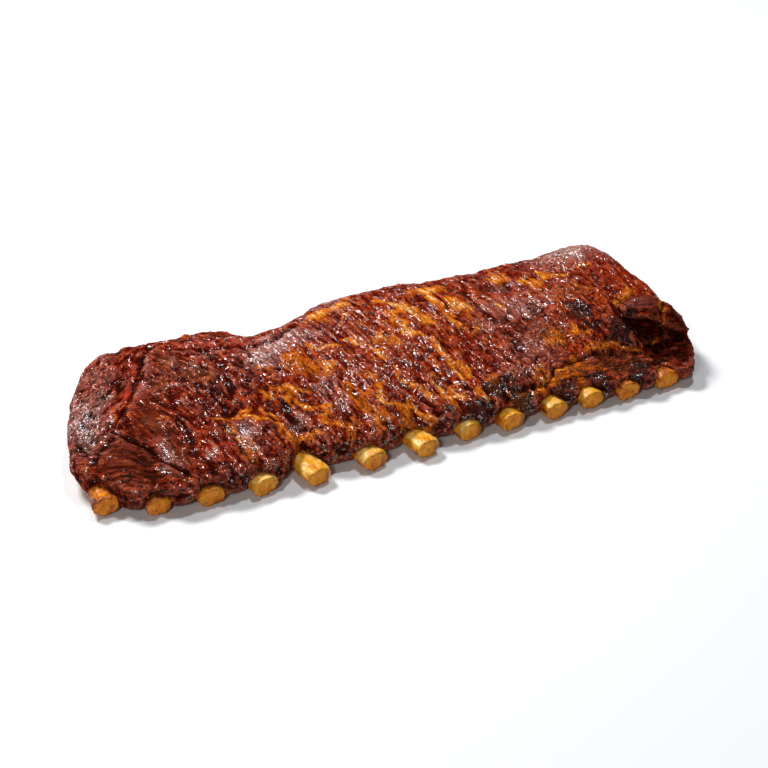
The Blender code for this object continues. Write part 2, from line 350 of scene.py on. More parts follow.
class GeometryTree(Tree):
    """A Geometry Nodes group with named inputs, run once on an object and turned into its mesh."""

    def __init__(self, name: str, numbers: dict[str, float]) -> None:
        """Makes the group.

        Args:
            name: The group's name.
            numbers: Its named inputs and their values.
        """
        group = bpy.data.node_groups.new(name, "GeometryNodeTree")
        super().__init__(group)
        group.interface.new_socket("Geometry", in_out="INPUT", socket_type="NodeSocketGeometry")
        self.numbers = numbers
        self.identifiers = {
            key: group.interface.new_socket(key, in_out="INPUT", socket_type="NodeSocketFloat").identifier
            for key in numbers
        }
        group.interface.new_socket("Geometry", in_out="OUTPUT", socket_type="NodeSocketGeometry")
        self.entry = self.node("NodeGroupInput")
        self.exit = self.node("NodeGroupOutput")

    @property
    def geometry(self) -> bpy.types.NodeSocket:
        """The geometry that comes in."""
        return self.entry.outputs["Geometry"]

    def number(self, name: str) -> Value:
        """One of the named inputs."""
        return Value(self, self.entry.outputs[name])

    def mark(self, name: str) -> Value:
        """A number that the mesh holds at each point."""
        made = self.node("GeometryNodeInputNamedAttribute", {"data_type": "FLOAT"}, {"Name": name})
        return Value(self, made.outputs["Attribute"])

    def direction(self, name: str) -> bpy.types.NodeSocket:
        """A vector that the mesh holds at each point."""
        made = self.node("GeometryNodeInputNamedAttribute", {"data_type": "FLOAT_VECTOR"}, {"Name": name})
        return made.outputs["Attribute"]

    def random(self, low: float, high: float, seed: int) -> Value:
        """A random number for each point or instance."""
        made = self.node("FunctionNodeRandomValue", {"data_type": "FLOAT"}, {"Min": low, "Max": high, "Seed": seed})
        return Value(self, self.out(made, "Value_001"))

    def vector(self, x: Value | float, y: Value | float, z: Value | float) -> bpy.types.NodeSocket:
        """A vector of three numbers."""
        return self.node("ShaderNodeCombineXYZ", {}, {"X": x, "Y": y, "Z": z}).outputs[0]

    def leave(self, geometry: bpy.types.NodeSocket, material: bpy.types.Material) -> None:
        """Ends the group with real geometry in one material."""
        real = self.node("GeometryNodeRealizeInstances", {}, {"Geometry": geometry})
        dressed = self.node("GeometryNodeSetMaterial", {}, {"Geometry": real.outputs[0], "Material": material})
        self.inside.links.new(dressed.outputs[0], self.exit.inputs["Geometry"])

    def run(self, obj: bpy.types.Object) -> bpy.types.Mesh:
        """Runs the group on an object.

        Args:
            obj: The object whose mesh goes in. Its modifier is removed afterwards.

        Returns:
            The mesh that comes out.
        """
        modifier = obj.modifiers.new(self.inside.name, "NODES")
        modifier.node_group = self.inside
        for name, identifier in self.identifiers.items():
            modifier[identifier] = float(self.numbers[name])
        bpy.context.view_layer.update()
        depsgraph = bpy.context.evaluated_depsgraph_get()
        made = bpy.data.meshes.new_from_object(
            obj.evaluated_get(depsgraph), preserve_all_data_layers=True, depsgraph=depsgraph
        )
        obj.modifiers.remove(modifier)
        return made


# --- Meshes -----------------------------------------------------------------------------------
def link(name: str, mesh: bpy.types.Mesh) -> bpy.types.Object:
    """Puts a mesh in the scene as an object at the origin."""
    obj = bpy.data.objects.new(name, mesh)
    bpy.context.scene.collection.objects.link(obj)
    return obj


def solid_copy(node: str) -> bmesh.types.BMesh:
    """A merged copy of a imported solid, which comes as loose triangles."""
    copy = bmesh.new()
    copy.from_mesh(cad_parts[node].data)
    bmesh.ops.remove_doubles(copy, verts=copy.verts, dist=1e-6)
    copy.normal_update()
    return copy


def take_result(obj: bpy.types.Object) -> None:
    """Turns what the object's modifiers give into its own mesh, and removes them."""
    depsgraph = bpy.context.evaluated_depsgraph_get()
    before = obj.data
    obj.data = bpy.data.meshes.new_from_object(obj.evaluated_get(depsgraph), depsgraph=depsgraph)
    obj.modifiers.clear()
    bpy.data.meshes.remove(before)


def voxel_skin(name: str, source: bmesh.types.BMesh, pitch: float) -> bpy.types.Object:
    """A fine closed skin of even faces round one or more solids.

    Args:
        name: The new object's name.
        source: The solids, which may overlap.
        pitch: The size of the skin's faces.

    Returns:
        The object, with its own mesh and no modifier.
    """
    rough = bpy.data.meshes.new(name)
    source.to_mesh(rough)
    source.free()
    obj = link(name, rough)
    modifier = obj.modifiers.new("skin", "REMESH")
    modifier.mode = "VOXEL"
    modifier.voxel_size = pitch
    take_result(obj)
    return obj


def wander(points: np.ndarray, spacing: float, layer: float) -> np.ndarray:
    """Smooth random vectors, mostly within 0.5, that change over the spacing."""
    shift = Vector((layer, layer * 0.7, -layer))
    return np.array([noise.noise_vector(Vector(p) / spacing + shift) for p in points])


def rib_nodes() -> list[str]:
    """The solids of the bones, from the left end of the rack to the right."""
    return sorted(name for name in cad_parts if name.startswith("rib_bone"))


def bone_tip(node: str) -> Point:
    """Where a bone's front end is, in metres."""
    low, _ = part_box(node)
    found = [v.co.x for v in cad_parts[node].data.vertices if v.co.y < low.y + MM]
    return sum(found) / len(found), low.y


class Surface:
    """A mesh's points as arrays, with the edges that join them."""

    def __init__(self, obj: bpy.types.Object) -> None:
        """Reads the object's mesh."""
        self.mesh = obj.data
        self.points = self._read(self.mesh.vertices, "co", 3)
        self.edges = self._read(self.mesh.edges, "vertices", 2, np.int32)
        ends = self.edges.ravel()
        self.joined = np.maximum(np.bincount(ends, minlength=len(self.points)), 1)

    @staticmethod
    def _read(items: Any, name: str, width: int, kind: type = np.float32) -> np.ndarray:
        """One property of a mesh's items, as rows."""
        found = np.zeros(len(items) * width, kind)
        items.foreach_get(name, found)
        found = found.reshape(-1, width)
        return found if kind is np.int32 else found.astype(float)

    def normals(self) -> np.ndarray:
        """Which way the skin faces at each point."""
        return self._read(self.mesh.vertex_normals, "vector", 3)

    def around(self, values: np.ndarray) -> np.ndarray:
        """The mean of each point's neighbours, column by column."""
        first, second = self.edges[:, 0], self.edges[:, 1]
        total, count = np.zeros_like(values), len(values)
        for column in range(values.shape[1]):
            total[:, column] = np.bincount(first, values[second, column], count)
            total[:, column] += np.bincount(second, values[first, column], count)
        return total / self.joined[:, None]

    def relax(self, rounds: int) -> None:
        """Smooths facets away without shrinking the form."""
        for _ in range(rounds):
            for pull in (0.55, -0.56):
                self.points += pull * (self.around(self.points) - self.points)
        self.write()

    def hollows(self, rounds: int) -> np.ndarray:
        """How deep each point lies below its surroundings, in metres."""
        blurred = self.points.copy()
        for _ in range(rounds):
            blurred += 0.6 * (self.around(blurred) - blurred)
        return np.einsum("ij,ij->i", blurred - self.points, self.normals())

    def read_mark(self, name: str) -> np.ndarray:
        """A number that the mesh holds at each point."""
        return self._read(self.mesh.attributes[name].data, "value", 1)[:, 0]

    def write(self) -> None:
        """Puts the points back in the mesh."""
        self.mesh.vertices.foreach_set("co", self.points.astype(np.float32).ravel())
        self.mesh.update()

    def store(self, name: str, values: np.ndarray) -> None:
        """Keeps a number or a vector at each point, for materials and Geometry Nodes."""
        kind, slot = ("FLOAT", "value") if values.ndim == 1 else ("FLOAT_VECTOR", "vector")
        found = self.mesh.attributes.get(name) or self.mesh.attributes.new(name, kind, "POINT")
        found.data.foreach_set(slot, values.astype(np.float32).ravel())


def smooth(values: np.ndarray, low: float, high: float) -> np.ndarray:
    """A smooth rise from 0 at low to 1 at high."""
    share = np.clip((values - low) / (high - low), 0.0, 1.0)
    return share * share * (3.0 - 2.0 * share)


# --- Marks on the meat ------------------------------------------------------------------------
@dataclass(frozen=True)
class Streak:
    """A band along a few points of the rack's top, in millimetres."""

    path: tuple[Point, ...]
    half_width: float
    strength: float = 1.0

    def distance(self, plan: np.ndarray) -> np.ndarray:
        """How far each point lies from the band's middle line, in half widths."""
        nearest = np.full(len(plan), np.inf)
        for start, end in zip(self.path, self.path[1:]):
            a, b = np.array(start), np.array(end)
            along = np.clip((plan - a) @ (b - a) / ((b - a) @ (b - a)), 0.0, 1.0)
            nearest = np.minimum(nearest, np.linalg.norm(plan - a - along[:, None] * (b - a), axis=1))
        return nearest / self.half_width

    def slope(self, plan: np.ndarray) -> np.ndarray:
        """Its strength in the middle, 0 at its edge, and down to -1 further out."""
        away = self.distance(plan)
        return np.where(away < 1.0, self.strength * (1.0 - away), np.maximum(1.0 - away, -1.0))

    def bell(self, plan: np.ndarray) -> np.ndarray:
        """Its strength in the middle, falling softly to 0 outside."""
        return self.strength * np.exp(-(self.distance(plan) ** 2))


@dataclass(frozen=True)
class Patch:
    """A soft oval of the rack's top, in millimetres, turned by an angle in degrees."""

    x: float
    y: float
    length: float
    width: float
    strength: float = 1.0
    turn: float = 0.0

    def bell(self, plan: np.ndarray) -> np.ndarray:
        """Its strength in the middle, falling softly to 0 outside."""
        turn = math.radians(self.turn)
        across_x, across_y = plan[:, 0] - self.x, plan[:, 1] - self.y
        along = (across_x * math.cos(turn) + across_y * math.sin(turn)) / self.length
        side = (across_y * math.cos(turn) - across_x * math.sin(turn)) / self.width
        return self.strength * np.exp(-(along**2 + side**2))


def strongest(marks: tuple[Streak | Patch, ...], plan: np.ndarray) -> np.ndarray:
    """The strongest of several soft marks at each point."""
    return np.max([mark.bell(plan) for mark in marks], axis=0)


FAT = (  # rendered fat that shows through the bark: amber where narrow, cream at its strongest
    Streak(((-25, 43), (-14, 41), (-5, 46)), 4.5, 1.0),
    Streak(((0, 52), (4, 58)), 3.0, 0.7),
    Streak(((14, 41), (20, 35), (27, 30)), 2.4, 0.9),
    Streak(((24, 25), (30, 24), (34, 16), (36, 10)), 4.4, 1.0),
    Streak(((22, 20), (26, 27)), 3.0, 0.8),
    Streak(((20, 15), (24, 5), (29, -1), (32, -5)), 1.9, 1.0),
    Streak(((33, -8), (36, -18), (37, -27), (39, -37)), 3.0, 0.9),
    Streak(((40, -24), (43, -30), (42, -37)), 1.8, 0.8),
    Streak(((42, 40), (50, 37), (57, 40)), 5.0, 0.95),
    Streak(((45, 34), (50, 28), (52, 20), (52, 10), (56, 3)), 2.4, 0.9),
    Streak(((60, 26), (62, 20), (65, 13)), 3.8, 0.95),
    Streak(((56, 18), (57, 10)), 2.2, 0.8),
    Streak(((-40, 17), (-35, 14), (-29, 10), (-23, 7)), 1.9, 1.0),
    Streak(((-52, 9), (-45, 7)), 1.8, 0.9),
    Streak(((-50, 5), (-44, -4)), 7.0, 0.55),
    Streak(((-37, -3), (-32, -7), (-37, -12)), 2.6, 0.75),
    Streak(((-58, -21), (-51, -22)), 3.0, 1.0),
    Streak(((-66, -14), (-60, -19), (-62, -25)), 2.6, 0.7),
    Streak(((-60, -30), (-55, -35), (-48, -37)), 2.4, 0.75),
    Streak(((-50, -41), (-48, -48), (-44, -52)), 2.4, 0.75),
    Streak(((-30, -24), (-26, -33), (-22, -44), (-19, -55)), 3.8, 0.5),
    Streak(((-16, -22), (-13, -33), (-13, -43)), 2.8, 0.85),
    Streak(((-12, -44), (-4, -49), (2, -46)), 2.6, 0.8),
    Streak(((2, -46), (6, -52), (8, -58)), 2.2, 0.8),
    Streak(((2, -22), (7, -31), (14, -42)), 1.9, 0.7),
    Streak(((21, -35), (22, -41), (27, -47), (35, -50)), 3.0, 0.95),
    Streak(((43, -50), (43, -54)), 2.2, 0.8),
    Streak(((-14, 14), (-11, 8)), 2.2, 0.8),
    Streak(((0, 5), (6, 10), (10, 4)), 4.4, 0.5),
    Streak(((-2, -3), (0, -8)), 2.2, 0.7),
    Streak(((12, 19), (17, 15)), 2.2, 0.6),
    Streak(((26, -27), (24, -30)), 2.2, 0.6),
    Streak(((-8, 30), (-4, 36)), 2.2, 0.7),
    Streak(((-101, -24), (-91, -31), (-82, -38), (-72, -46), (-66, -51)), 2.2, 0.95),
    Streak(((-94, -26), (-89, -27)), 1.8, 0.8),
    Streak(((-82, -24), (-79, -30), (-77, -34)), 1.8, 0.8),
    Streak(((-77, -16), (-72, -18)), 3.0, 1.0),
    Streak(((-109, -26), (-104, -27)), 1.8, 0.85),
    Streak(((-104, -34), (-102, -42)), 1.8, 0.6),
    Streak(((-104, 3), (-99, 8)), 2.2, 0.15),
    Streak(((-163, -8), (-158, 1)), 1.6, 0.15),
    Streak(((-139, -17), (-137, -20)), 1.3, 0.6),
    Streak(((-68, -46), (-60, -50)), 2.2, 0.6),
    Streak(((-73, 5), (-64, 2)), 1.8, 0.55),
    Streak(((-79, -44), (-76, -50)), 1.8, 0.6),
    Streak(((95, 45), (97, 39)), 4.4, 0.75),
    Streak(((110, 32), (116, 26), (124, 32), (133, 28)), 3.8, 0.7),
    Streak(((113, 20), (115, 30)), 2.8, 0.7),
    Streak(((121, 38), (126, 35)), 2.2, 0.6),
    Streak(((149, 34), (154, 33)), 2.7, 0.6),
    Streak(((150, -7), (158, -1), (166, 1)), 2.6, 0.75),
    Streak(((138, 14), (141, 12)), 2.0, 0.75),
    Streak(((84, 14), (86, 6)), 2.0, 0.6),
    Streak(((98, -26), (104, -22), (108, -28)), 3.8, 0.6),
    Streak(((118, -22), (125, -25)), 3.2, 0.55),
    Streak(((118, -35), (130, -36), (140, -39), (150, -41)), 2.0, 0.5),
    Streak(((60, -4), (66, -2)), 2.2, 0.5),
    Streak(((176, -22), (171, -31), (166, -37)), 1.2, 0.45),
    Streak(((62, -57), (72, -55), (82, -51), (90, -50)), 2.0, 0.7),
    Streak(((95, -48), (110, -46), (125, -47)), 2.6, 0.42),
)
CHAR = (  # scorched, crusted bark
    Patch(53, -50, 10, 6, 1.15),
    Patch(63, -49, 8, 5, 0.9),
    Patch(20, -54, 7, 5, 0.85),
    Patch(79, -18, 4, 3, 0.9),
    Patch(101, 1, 5, 6, 0.7),
    Patch(127, -9, 9, 12, 0.95),
    Patch(143, -31, 10, 9, 1.2),
    Patch(131, -23, 4, 3, 0.8),
    Patch(38, 24, 3, 3, 0.8),
    Patch(1, -15, 4, 5, 0.6),
    Patch(24, -12, 5, 4, 0.6),
    Patch(8, 38, 7, 6, 0.5),
    Patch(-66, -28, 5, 5, 0.7),
    Patch(-114, -38, 6, 5, 0.65),
    Patch(-96, 8, 12, 12, 0.45),
    Patch(-103, -8, 9, 6, 0.4),
    Patch(-36, 21, 3, 2, 0.7),
    Patch(-19, 10, 3, 3, 0.7),
    Patch(-57, -26, 4, 3, 0.75),
    Patch(160, -50, 14, 6, 0.6),
    Patch(155, -29, 8, 6, 0.6),
    Patch(148, -56, 8, 5, 0.6),
    Patch(104, -56, 5, 5, 0.6),
    Patch(66, 34, 4, 6, 0.6),
    Patch(120, 60, 10, 6, 0.6),
    Patch(-20, 60, 14, 5, 0.5),
    Patch(-84, 50, 14, 4, 0.5),
    Patch(18, 12, 4, 5, 0.45),
    Patch(50, -40, 4, 6, 0.4),
)
GLOSS_AND_PAINTED_SHEEN = (  # a pinkish sheen painted into the colour, over a broader gloss
    Patch(-178, 0, 11, 20, 0.9),
    Patch(-163, -2, 10, 4, 0.6, 60),
    Patch(-143, -42, 4, 9, 0.55, 15),
    Patch(-160, 36, 14, 14, 0.40),
    Patch(-55, 21, 22, 9, 1.1, 25),
    Patch(-66, 11, 9, 8, 0.9),
    Patch(-32, 28, 14, 8, 0.6),
    Patch(150, 50, 24, 14, 1.0),
    Patch(98, 30, 9, 6, 0.5),
    Patch(92, 8, 17, 12, 0.5),
    Patch(74, 15, 8, 7, 0.55),
    Patch(73, -3, 9, 6, 0.5),
    Patch(84, -25, 15, 13, 0.45),
    Patch(75, -42, 14, 6, 0.45),
    Patch(158, -26, 8, 6, 0.5),
    Patch(-131, 34, 3, 12, 0.55, -12),
    Patch(-139, 12, 3.5, 12, 0.55, -25),
    Patch(-152, 53, 5, 6, 0.7),
    Patch(-166, 10, 14, 5, 0.9, 45),
    Patch(-177, -2, 6, 9, 0.6),
    Patch(-97, -42, 6, 11, 0.95),
    Patch(-122, -49, 5, 4, 0.5),
    Patch(-148, -52, 5, 5, 0.5),
    Patch(-42, -20, 5, 8, 0.5),
    Patch(-38, -35, 7, 6, 0.45),
    Patch(-66, -41, 7, 5, 0.9),
    Patch(-95, 32, 8, 8, 0.35),
    Patch(78, 58, 8, 6, 0.5),
)
RED = (  # bright, wet red glaze
    Patch(-146, 12, 4, 9, 0.95, -35),
    Patch(-142, 36, 5, 6, 0.8),
    Patch(-86, 40, 3, 6, 0.9),
    Patch(-72, 34, 9, 4, 0.9, 25),
    Patch(-60, 28, 7, 3, 0.7, 30),
    Patch(-115, -46, 14, 12, 0.45),
    Patch(18, 28, 7, 7, 0.5),
    Patch(163, 20, 12, 14, 0.3),
    Patch(110, -35, 6, 4, 0.55),
    Patch(50, -14, 8, 12, 0.3),
    Patch(-100, 46, 14, 4, 0.6),
    Patch(-55, -10, 14, 8, 0.3),
    Patch(-162, -3, 9, 4, 0.95, 62),
    Patch(-147, -36, 3, 10, 0.9, 20),
)
TAN = (  # drier orange-brown bark
    Patch(-119, 29, 5, 10, 0.7),
    Patch(-108, 14, 7, 9, 0.5),
    Patch(-130, 8, 5, 14, 0.4, -20),
    Patch(127, 12, 15, 9, 0.4),
    Patch(104, -22, 14, 12, 0.5),
    Patch(120, -46, 34, 6, 0.5),
    Patch(-140, -44, 9, 8, 0.5),
    Patch(6, 4, 10, 10, 0.35),
    Patch(-165, -40, 12, 14, 0.35),
    Patch(-142, -20, 6, 14, 0.45, 10),
)
SMOOTH = (  # bare muscle without bark
    Patch(-165, -40, 13, 16, 1.0),
    Patch(-151, -55, 12, 7, 0.9),
    Patch(-146, -8, 6, 16, 0.7, -10),
    Patch(-141, -22, 6, 14, 0.6, 10),
    Patch(164, -22, 15, 13, 0.9),
    Patch(-50, 20, 24, 8, 0.7, 25),
    Patch(-34, -34, 10, 10, 0.6),
    Patch(-22, -44, 5, 14, 0.6, 18),
    Patch(34, 35, 12, 4, 0.9, -15),
    Patch(172, 22, 10, 20, 0.6),
    Patch(150, 50, 20, 12, 0.5),
)
WET = (  # pools and films of glaze
    Patch(0, 0, 75, 70, 0.55),
    Patch(105, 18, 45, 40, 0.40),
    Patch(-178, 0, 12, 22, 0.35),
    Patch(-143, -42, 5, 10, 0.8, 15),
    Patch(-110, -10, 40, 40, 0.30),
    Patch(-97, -42, 4, 9, 0.9),
    Patch(-122, -50, 5, 4, 0.8),
    Patch(-42, -34, 8, 6, 0.9),
    Patch(-60, -2, 4, 4, 1.0),
    Patch(33, -40, 5, 4, 1.0),
    Patch(43, 17, 4, 6, 1.0),
    Patch(34, -31, 4, 3, 0.9),
    Patch(-150, -53, 5, 5, 0.7),
    Patch(34, 35, 12, 4, 0.8, -15),
    Patch(-66, 12, 8, 7, 0.8),
    Patch(148, 46, 18, 8, 0.5),
)
DUSK = (  # darker muscle: the colour is multiplied darker and the gloss is less
    Patch(-164, -38, 14, 17, 1.0),
    Patch(-149, -56, 18, 7, 0.95),
    Patch(-145, -14, 6, 18, 0.8, -5),
    Patch(-141, -30, 5, 10, 0.6, 20),
    Patch(165, -26, 20, 16, 1.0),
    Patch(180, -36, 12, 12, 0.9),
    Patch(163, -43, 15, 6, 0.95),
    Patch(120, -52, 50, 6, 0.35),
)
FIBRES = (  # where the muscle's own strands show
    Patch(48, -26, 13, 20, 0.9, 15),
    Patch(-40, -25, 14, 14, 0.6),
    Patch(-22, -42, 12, 14, 0.7),
    Patch(-163, 0, 18, 12, 0.9, 45),
    Patch(-160, -42, 24, 20, 0.9),
    Patch(120, -47, 60, 7, 0.9),
    Patch(165, -22, 14, 12, 0.5),
    Patch(-110, -46, 10, 12, 0.5),
    Patch(-80, -40, 10, 12, 0.8),
    Patch(10, 10, 70, 50, 0.55),
)
GLOW = (  # where the bark is thin and the meat shines orange through it
    Patch(-161, -2, 12, 5, 1.2, 60),
    Patch(15, 10, 60, 50, 0.75),
    Patch(140, 38, 24, 16, 0.5),
    Patch(92, 42, 20, 14, 0.5),
    Patch(-40, 5, 25, 30, 0.5),
    Patch(50, 35, 30, 16, 0.7),
    Patch(-30, 42, 30, 7, 0.5),
    Patch(110, 30, 30, 18, 0.4),
    Patch(-90, -35, 16, 16, 0.5),
    Patch(-128, -42, 14, 14, 0.6),
    Patch(-135, -5, 14, 16, 0.35),
    Patch(120, -46, 30, 6, 0.6),
    Patch(100, 15, 36, 26, 0.6),
    Patch(108, -24, 12, 12, 0.5),
)
GROOVES = (  # creases and steps, whose strength is their depth in millimetres
    Streak(((178, -18), (173, -28), (168, -36), (163, -41)), 1.5, 2.2),
    Streak(((-131, 42), (-137, 26), (-146, 12), (-155, -2), (-170, -14)), 2.6, 1.8),
    Streak(((-148, 30), (-158, 20), (-168, 8)), 2.0, 1.3),
    Streak(((24, 38), (34, 34), (45, 31)), 3.0, 1.3),
    Streak(((60, -56), (75, -53), (86, -49), (97, -44), (112, -41), (135, -41)), 1.7, 1.8),
    Streak(((-112, 43), (-88, 37), (-72, 27), (-55, 26), (-42, 36), (-30, 47)), 2.6, 2.0),
    Streak(((-101, -18), (-103, -35), (-101, -50), (-99, -60)), 2.6, 2.0),
    Streak(((-166, -15), (-160, -24), (-151, -35), (-147, -47), (-136, -60)), 2.0, 2.0),
    Streak(((-70, -30), (-64, -45), (-58, -57)), 2.4, 1.8),
    Streak(((-30, -26), (-24, -42), (-17, -58)), 2.2, 1.5),
    Streak(((-128, -30), (-126, -46), (-123, -60)), 2.2, 1.4),
    Streak(((-118, 18), (-116, 2), (-119, -16)), 3.0, 1.0),
    Streak(((-92, 24), (-90, 6), (-94, -10)), 3.0, 1.0),
    Streak(((2, -28), (8, -42), (14, -56)), 2.2, 1.4),
    Streak(((70, 30), (74, 8), (78, -12)), 3.0, 0.9),
    Streak(((98, 34), (103, 14), (106, -6)), 3.0, 0.9),
    Streak(((-160, -12), (-168, -22), (-184, -30)), 2.0, 1.0),
    Streak(((150, -12), (158, -4), (172, -1)), 2.0, 1.2),
    Streak(((16, -20), (24, -34), (26, -44)), 1.6, 0.7),
    Streak(((44, 24), (48, 10), (53, -2)), 1.8, 0.8),
    Streak(((150, -30), (158, -37), (168, -39), (180, -38)), 2.2, 1.6),
)
SWELLS = (  # rises and (below zero) hollows, whose strength is their height in millimetres
    Patch(-97, -42, 5, 10, 1.0, 5),
    Patch(-118, -48, 7, 8, 0.8),
    Patch(-66, -42, 5, 8, 1.0),
    Patch(33, -40, 5, 5, 1.0),
    Patch(43, 17, 5, 8, 0.8),
    Patch(56, -49, 11, 5, 1.8),
    Patch(143, -31, 9, 8, 1.4),
    Patch(152, -46, 8, 5, 0.8),
    Patch(-152, 50, 6, 6, 0.8),
    Patch(-70, 38, 12, 4, 1.0, 25),
    Patch(-104, 47, 12, 4, 0.9),
    Patch(-40, -33, 7, 5, 0.6),
)


def in_left_fold(plan: np.ndarray) -> np.ndarray:
    """True behind the crease of the left end, where the strands run aslant."""
    crease = np.interp(plan[:, 1], (-30.0, -14.0, 12.0, 42.0, 60.0), (-184.0, -165.0, -146.0, -131.0, -120.0))
    return plan[:, 0] < crease


def in_front_muscle(plan: np.ndarray) -> np.ndarray:
    """True on the bare muscle at the front of the left end, whose strands run along the rack."""
    edge = np.interp(plan[:, 1], (-66.0, -47.0, -35.0, -24.0, -15.0), (-130.0, -147.0, -151.0, -160.0, -167.0))
    return (plan[:, 0] < edge) & (plan[:, 1] < -15.0)


def strand_places(points: np.ndarray, upper: np.ndarray) -> np.ndarray:
    """Places across and along the strands of the muscle, in metres, from which their pattern is read.

    Args:
        points: The skin's points, in metres.
        upper: 1 on the upper side and 0 on the underside.

    Returns:
        Rows of (across, along, height).
    """
    x, y, z = points.T
    lean = 0.38 - 0.13 * smooth(x, -0.14, -0.06) - 0.12 * smooth(x, 0.04, 0.16)
    across, along = x + lean * y, y.copy()
    plan = points[:, :2] / MM
    for chosen, angle in (
        (in_left_fold(plan), -48.0),
        (in_front_muscle(plan), 65.0),
        ((plan[:, 0] > 92) & (plan[:, 1] < -41), 84.0),
        ((plan[:, 0] > 150) & (np.abs(plan[:, 1] + 20) < 17), 66.0),
    ):
        turn = math.radians(angle)
        chosen = chosen & (upper > 0.5)
        across = np.where(chosen, x * math.cos(turn) + y * math.sin(turn), across)
        along = np.where(chosen, y * math.cos(turn) - x * math.sin(turn), along)
    return np.stack([across, along, z], axis=1)


# --- Finishes ---------------------------------------------------------------------------------
def mottle(tree: Tree, places: bpy.types.NodeSocket) -> Value:
    """Lumps of bark a few millimetres wide, which relief and colour share."""
    return tree.noise(tree.scaled(places, (1.0, 0.55, 0.8)), 0.0050, 2.0, 0.55, 0.8, 2.0)


def pits(tree: Tree, place: bpy.types.NodeSocket) -> Value:
    """Small pits where the bark has cracked, from 0 outside to 1 inside."""
    return tree.noise(place, 0.0070, 2.0, 0.5, 1.2, 7.0).step(0.62, 1.05)


def strands(tree: Tree, places: bpy.types.NodeSocket, width: float, layer: float) -> Value:
    """Long strands of that width, about 0."""
    stretched = tree.scaled(places, (1.0, 0.12, 0.7))
    return tree.noise(stretched, width, 1.0, 0.5, 0.4, layer)


